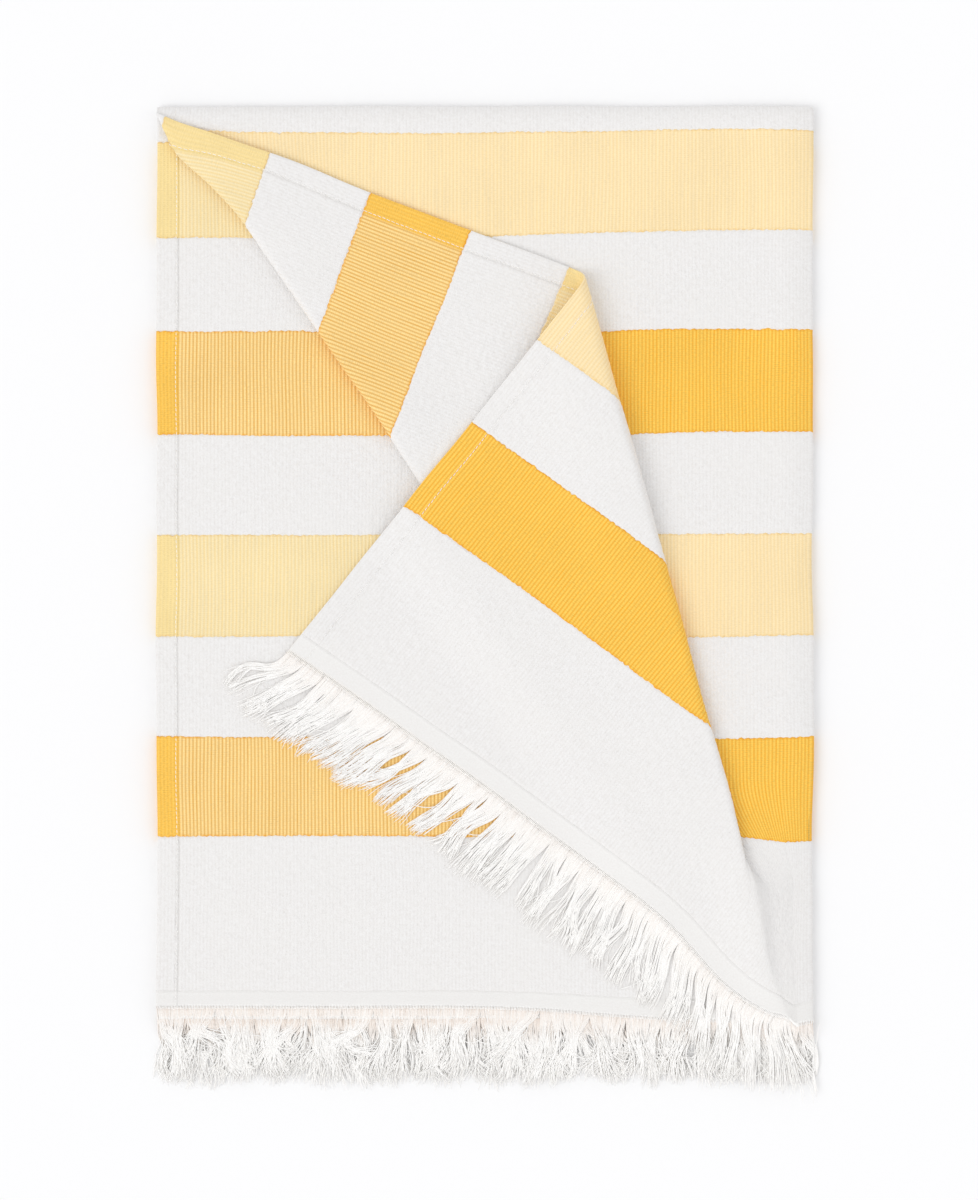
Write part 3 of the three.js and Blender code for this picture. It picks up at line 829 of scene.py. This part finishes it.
def woven(name, weave, low, high, front, grid, seed):
    """One stripe as a closed sheet from v = low to high, with its pile, ribs, hems and edges."""
    rng = np.random.default_rng(seed)
    pitch, row_pitch = grid
    reach = min(SHOWN_SLOPE * max(high, 0) + SHOWN_START, FOLDED_WIDTH - 6)
    u = columns_for(pitch, reach, front)
    v = rows_for(weave, low, high, row_pitch)
    shape = (len(v), len(u))
    inside_v = np.minimum(v - v[0], v[-1] - v)[:, None]
    inside_u = np.minimum(u, CLOTH_WIDTH - u)[None, :]
    nearer_middle = (np.abs(v) < (abs(low) + abs(high)) / 2)[:, None]
    stitch = ridge(inside_u, 1.0, STITCH_AT, STITCH_WIDTH)
    hem = 1.0 - smoothstep(inside_u, HEM_WIDTH, HEM_WIDTH + HEM_STEP)
    faces = []
    for face in (1, -1):
        n = np.full(shape, HALF_THICKNESS[weave])
        if weave in ("light", "amber"):
            strength = 0.75 + 0.35 * weave_noise(rng, shape, 3).clip(-1.5, 1.5)
            ribs = np.cos(2 * np.pi * u / RIB_PITCH)[None, :]
            n += RIB_DEPTH * RIB_SHARE[face] * ribs * strength
            n += ridge(inside_v, *RIBBED_ROLL)
        if weave == "white":
            n += PILE * weave_noise(rng, shape, 1).clip(-2.2, 2.2)
            n -= PILE_DENT * stitch
        if weave == "end":
            n += BAND_NOISE * weave_noise(rng, shape, 1)
            n += ridge(inside_v, *BAND_LINE) * nearer_middle
        n -= STITCH_DENT * stitch
        if face < 0:
            n += HEM_EXTRA[weave] * hem
        if weave == "white":
            n *= PILE_LEAST + (1.0 - PILE_LEAST) * smoothstep(inside_v, *PILE_FOOT)
        else:
            n *= rounded(inside_v, THIN_EDGE)
        n *= rounded(inside_u, EDGE_ROUND)
        faces.append(face * n)
    low_shift, high_shift = uneven_edges(rng, weave, u)
    shifted = v[:, None] - bell(v - v[0], EDGE_REACH)[:, None] * low_shift
    shifted = shifted + bell(v[-1] - v, EDGE_REACH)[:, None] * high_shift
    points = settle(np.stack([place(u[None, :], shifted, n) for n in faces]))
    uv = np.stack(np.broadcast_arrays(u[None, :] * MM, shifted * MM), axis=-1)
    uv = np.stack([uv, uv]).reshape(-1, 2)
    paler = np.stack([np.zeros(shape), np.broadcast_to(1.0 - 0.6 * hem, shape)])
    # Painted shade in the crease at the hem's inner edge. On the ribbed stripes the hem attribute also
    # gives the doubled hem its deeper tone; on the white ones it carries only the painted crease shade.
    crease_shade = ridge(inside_u, 1.0, HEM_WIDTH + 0.5, 0.6)
    shown = 0.55 * crease_shade if weave == "white" else np.maximum(0.7 * hem, 0.9 * crease_shade)
    hem_tone_and_crease_shade = np.stack([np.zeros(shape), np.broadcast_to(shown, shape)])
    edge = np.broadcast_to(np.minimum(inside_v, 9.0), (2, *shape))
    return add_object(
        name,
        points.reshape(-1, 3),
        grid_faces(*shape),
        uv,
        MATERIALS[weave],
        (("paler", paler), ("edge", edge), ("hem", hem_tone_and_crease_shade)),
    )


def stands_for(piece, node):
    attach(piece, "root")
    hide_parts(node)


middle_end = MIDDLE_HALF + OVERLAP["white"]
middle = woven("towel_middle_stripe", "white", -middle_end, middle_end, True, MIDDLE_GRID, 100)
stands_for(middle, "white_middle_stripe")
start = MIDDLE_HALF
for order, (name, weave, width) in enumerate(STRIPES):
    grid = END_STRIPE_GRID if name == "white_end_stripe" else GRID[weave]
    low, high = start - OVERLAP[weave], start + width + OVERLAP[weave]
    piece = woven("towel_front_" + name, weave, low, high, True, grid, 200 + order)
    stands_for(piece, "front_" + name)
    back_grid = (BACK_PITCH[weave], BACK_ROW_PITCH)
    piece = woven("towel_back_" + name, weave, -high, -low, False, back_grid, 300 + order)
    stands_for(piece, "back_" + name)
    start += width


# ---------------------------------------------------------------------------------------------
# Stitches
# ---------------------------------------------------------------------------------------------
SUNK = {"white": 0.3, "light": 0.2, "amber": 0.2, "end": 0.2}  # the cloth under its stitches
HEM_LIFT = 0.4  # of the hem's own face
STITCH_PITCH = 3.6
STITCH_GAP = 0.8
STITCH_POINTS = 6
STITCH_ARCH = 0.28
STITCH_RADIUS = 0.26
ROW_PITCH = 1.15  # of an overlocked row's turns
ROW_WIDTH = 1.9
ROW_HEIGHT = 0.72
ROW_RADIUS = 0.38


def surface_at(v, face):
    """Height of the cloth's face at the side hem's stitches, along the cloth."""
    edges = [MIDDLE_HALF]
    heights = [HALF_THICKNESS["white"] - SUNK["white"]]
    for _, weave, width in STRIPES:
        edges.append(edges[-1] + width)
        heights.append(HALF_THICKNESS[weave] - SUNK[weave])
    at = np.searchsorted(edges, np.abs(v)).clip(0, len(heights) - 1)
    return np.array(heights)[at] + (HEM_LIFT if face < 0 else 0.0)


def hem_stitches(name, node, inner, seed):
    """Stitches through a side hem, which show on both faces of the cloth."""
    rng = np.random.default_rng(seed)
    starts = np.arange(-HALF_LENGTH + 2, HALF_LENGTH - 3, STITCH_PITCH)
    share = np.linspace(0.0, 1.0, STITCH_POINTS)
    v = starts[:, None] + 0.2 + share * (STITCH_PITCH - STITCH_GAP)
    offset = STITCH_AT + rng.normal(0.0, 0.12, starts.size)[:, None] + 0.25 * (share - 0.5)
    u = CLOTH_WIDTH - offset if inner else offset
    arch = np.sin(np.pi * share) * STITCH_ARCH - 0.08
    paths = []
    for face in (1, -1):
        n = face * (surface_at(v, face) + arch)
        paths.append(settle(place(u, v, n)))
    paths = np.concatenate(paths)
    radii = np.full(paths.shape[:2], STITCH_RADIUS * MM)
    tint = rng.uniform(0.0, 1.0, len(paths))
    piece = add_tubes(name, paths, radii, tint, MATERIALS["thread"])
    stands_for(piece, node)
    return piece


def end_stitches(name, node, side, seed):
    """An overlocked row: one thread wound round the woven end."""
    rng = np.random.default_rng(seed)
    turns = np.arange(0, (CLOTH_WIDTH - 1.0) / ROW_PITCH, 1 / 8)
    u = 0.5 + turns * ROW_PITCH
    angle = 2 * np.pi * turns
    knots = np.arange(0, CLOTH_WIDTH + 2, 3.0)
    wide = ROW_WIDTH + 0.15 * np.interp(u, knots, rng.normal(0, 1, knots.size))
    v = HALF_LENGTH + 0.4 + wide * np.cos(angle)
    n = ROW_HEIGHT * np.sin(angle)
    path = settle(place(u, side * v, n))[None]
    radii = np.full(path.shape[:2], ROW_RADIUS * MM)
    piece = add_tubes(name, path, radii, np.array([0.4]), MATERIALS["thread"])
    stands_for(piece, node)
    return piece


outer_stitches = hem_stitches("towel_outer_hem_stitches", "outer_hem_thread", False, 401)
inner_stitches = hem_stitches("towel_inner_hem_stitches", "inner_hem_thread", True, 402)
front_row = end_stitches("towel_front_end_row", "front_end_stitching", 1, 403)
back_row = end_stitches("towel_back_end_row", "back_end_stitching", -1, 404)


# ---------------------------------------------------------------------------------------------
# Fringes
# ---------------------------------------------------------------------------------------------
FRINGE_START = HALF_LENGTH + 0.5
BUNDLE_WIDTH = 9.0
WILD_SHARE = 0.08  # of the yarns, which leave their bundles
DROP = 17.0  # the length in which a yarn comes down from the cloth


def bundles(rng, roots, first, last, width, points, tangle):
    """Headings of yarns along their length, gathered into loose bundles, and each one's bundle."""
    bounds = [first]
    while bounds[-1] < last:
        bounds.append(bounds[-1] + width * rng.uniform(0.4, 1.7))
    group = (np.searchsorted(bounds, roots) - 1).clip(0, len(bounds) - 2)
    groups = len(bounds) - 1
    centres = (np.array(bounds[:-1]) + np.array(bounds[1:])) / 2
    share = np.linspace(0.0, 1.0, points)[None, :]
    phase = rng.uniform(0, 2 * np.pi, groups)[group][:, None]
    lean = rng.normal(0.0, 1.0, groups)[group][:, None]
    curl = rng.normal(0.0, tangle, groups)[group][:, None]
    wild = (rng.random(roots.size) < WILD_SHARE) * rng.normal(0.0, 3.6 * tangle, roots.size)
    own = rng.normal(0.0, 1.0, (2, roots.size))[:, :, None]
    heading = tangle * 0.4 * lean * smoothstep(share, 0.0, 0.3)
    heading = heading + curl * np.sin(share * 6.5 + phase) * smoothstep(share, 0.05, 0.5)
    heading = heading + tangle * own[0] * share * 0.3
    heading = heading + tangle * own[1] * np.sin(share * 9.0 + phase) * share * 0.5
    heading = heading + wild[:, None] * smoothstep(share, 0.35, 1.0)
    return heading, share, group, centres


def fringe(name, node, side, span, pitch, length, sweep, rest, seed, points, pile, thick, tangle, own):
    """A fringe of loose yarns. rest(x, depth) is the height of what they come to lie on.

    Their tints lie between the two values of own, which also set how deep the painted shade near their
    roots goes.
    """
    rng = np.random.default_rng(seed)
    roots = np.arange(*span, pitch)
    roots = roots + rng.normal(0.0, pitch * 0.25, roots.size)
    heading, share, group, centres = bundles(rng, roots, *span, BUNDLE_WIDTH, points, tangle)
    groups = len(centres)
    start = place(roots, side * FRINGE_START, 0.0)
    before = place(roots, side * (FRINGE_START - 1.5), 0.0)
    out = (start - before)[:, :2]
    out /= np.linalg.norm(out, axis=-1, keepdims=True)
    right = np.stack([out[:, 1], -out[:, 0]], axis=-1)
    heading = heading + np.radians(sweep(roots))[:, None] * smoothstep(share, 0.0, 0.35)
    reach = length(start[:, 1]) * rng.uniform(0.92, 1.05, groups)[group]
    reach = reach * rng.uniform(0.86, 1.03, roots.size)
    step = reach[:, None] / (points - 1)
    forward = np.cumsum(np.cos(heading) * step, axis=1)
    sideway = np.cumsum(np.sin(heading) * step, axis=1)
    forward -= forward[:, :1]
    sideway -= sideway[:, :1]
    centre = place(centres, side * FRINGE_START, 0.0)[group, :2] - start[:, :2]
    tight = rng.uniform(0.05, 0.12 + 0.8 * tangle, groups)[group][:, None]
    drawn = tight * smoothstep(share, 0.05, 0.5) * (1.0 - 0.6 * smoothstep(share, 0.55, 1.0))
    plan = (
        start[:, None, :2]
        + forward[..., None] * out[:, None, :]
        + sideway[..., None] * right[:, None, :]
        + drawn[..., None] * centre[:, None, :]
    )
    heap = 0.6 * rng.uniform(0.0, 1.0, groups)[group][:, None] + 0.4 * rng.random((len(roots), 1))
    bob = 0.4 * np.sin(share * 8.0 + rng.uniform(0, 2 * np.pi, (len(roots), 1))) * share
    ground = rest(plan[..., 0], plan[..., 1])
    resting = ground + thick + pile * heap * smoothstep(share, 0.0, 0.35) + bob
    outside = np.maximum(plan[..., 0] - FOLDED_WIDTH - 1.0, 0.0) + np.minimum(plan[..., 0] + 1.0, 0.0)
    plan[..., 0] -= 0.75 * outside
    down = smoothstep(forward, 0.0, DROP)
    level = start[:, 2:3] + rng.uniform(-0.4, 0.4, (len(roots), 1))
    height = level * (1 - down) + resting * down
    paths = np.concatenate([plan, height[..., None]], axis=-1)
    radii = thick * (1.0 - 0.25 * share) * rng.uniform(0.85, 1.15, (len(roots), 1)) * MM
    radii[:, -1] *= 0.4
    piece = add_tubes(name, settle(paths), radii, rng.uniform(*own, len(roots)), MATERIALS["fringe"])
    stands_for(piece, node)
    return piece


CORNER_SWEEP = ([0, 200, 300, 400, 480], [-28, -13, 12, 30, 38])
INNER_TOP = MIDDLE_HEIGHT + INNER + HALF_THICKNESS["white"] + PILE


def on_floor(x, depth):
    return 0.0 * x


def on_back_fringe(x, depth):
    return 2.0 + 0.0 * x


def on_inner_layer(x, depth):
    return INNER_TOP - 4.0 * smoothstep(depth, HALF_LENGTH - 14, HALF_LENGTH + 30)


def straight(u):
    return 0.0 * u


def swept(u):
    return np.interp(u, *CORNER_SWEEP)


def to_depth(depth):
    """Lengths of yarns that all reach as far down as each other."""
    return lambda root: depth - root


CORNER_END = 474.0  # along the end, where the turned corner's fringe gives way to the front one's
back_fringe = fringe(
    "towel_back_fringe",
    "back_fringe",
    side=-1,
    span=(0.5, CLOTH_WIDTH - 0.5),
    pitch=0.6,
    length=to_depth(750.0),
    sweep=straight,
    rest=on_floor,
    seed=501,
    points=12,
    pile=3.0,
    thick=0.48,
    tangle=0.5,
    # deepest painted root shade: this fringe lies beneath the front one
    own=(0.5, 0.9),
)
front_fringe = fringe(
    "towel_front_fringe",
    "front_fringe",
    side=1,
    span=(CORNER_END, CLOTH_WIDTH - 0.5),
    pitch=0.34,
    length=to_depth(746.0),
    sweep=straight,
    rest=on_back_fringe,
    seed=502,
    points=15,
    pile=2.6,
    thick=0.46,
    tangle=0.62,
    # painted root shade between the other two: this fringe lies over the back one
    own=(0.15, 0.7),
)
corner_fringe = fringe(
    "towel_corner_fringe",
    "turned_corner_fringe",
    side=1,
    span=(0.5, CORNER_END),
    pitch=0.3,
    length=lambda root: 66.0,
    sweep=swept,
    rest=on_inner_layer,
    seed=503,
    points=15,
    pile=1.6,
    thick=0.4,
    tangle=0.17,
    # least painted root shade: this fringe lies up on the cloth
    own=(0.0, 0.3),
)

# ---------------------------------------------------------------------------------------------
# Floor, lights and camera
# ---------------------------------------------------------------------------------------------
floor_mesh = bpy.data.meshes.new("floor")
FLOOR_HALF = 12.0
floor_corners = [(x * FLOOR_HALF, y * FLOOR_HALF, 0.0) for x, y in ((-1, -1), (1, -1), (1, 1), (-1, 1))]
floor_mesh.from_pydata(floor_corners, [], [(0, 1, 2, 3)])
floor = bpy.data.objects.new("floor", floor_mesh)
bpy.context.scene.collection.objects.link(floor)
paper = bpy.data.materials.new("paper_white")
paper.use_nodes = True
paper.node_tree.nodes["Principled BSDF"].inputs["Base Color"].default_value = (0.915, 0.915, 0.915, 1.0)
paper.node_tree.nodes["Principled BSDF"].inputs["Roughness"].default_value = 0.9
paper.node_tree.nodes["Principled BSDF"].inputs["Specular IOR Level"].default_value = 0.1
floor_mesh.materials.append(paper)
floor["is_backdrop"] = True

scene = bpy.context.scene
scene.view_settings.view_transform = "Standard"
scene.view_settings.look = "None"
scene.cycles.diffuse_bounces = 8

world = bpy.data.worlds.new("studio")
world.use_nodes = True
world.node_tree.nodes["Background"].inputs["Color"].default_value = (0.99, 0.99, 1.0, 1.0)
world.node_tree.nodes["Background"].inputs["Strength"].default_value = 0.935
scene.world = world

key = bpy.data.lights.new("key", "SUN")
key.energy = 0.68
key.angle = float(np.radians(36.0))
key_light = bpy.data.objects.new("key", key)
scene.collection.objects.link(key_light)
key_light.rotation_euler = (float(np.radians(20.0)), float(np.radians(-40.0)), 0.0)

camera_data = bpy.data.cameras.new("camera")
camera_data.lens = 94.5
camera_data.clip_end = 50.0
camera = bpy.data.objects.new("camera", camera_data)
scene.collection.objects.link(camera)
camera.location = (0.003, -0.0016, 2.412)
camera.rotation_euler = (0.0, 0.0, 0.0)
scene.camera = camera

low, high = (list(corner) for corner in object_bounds())
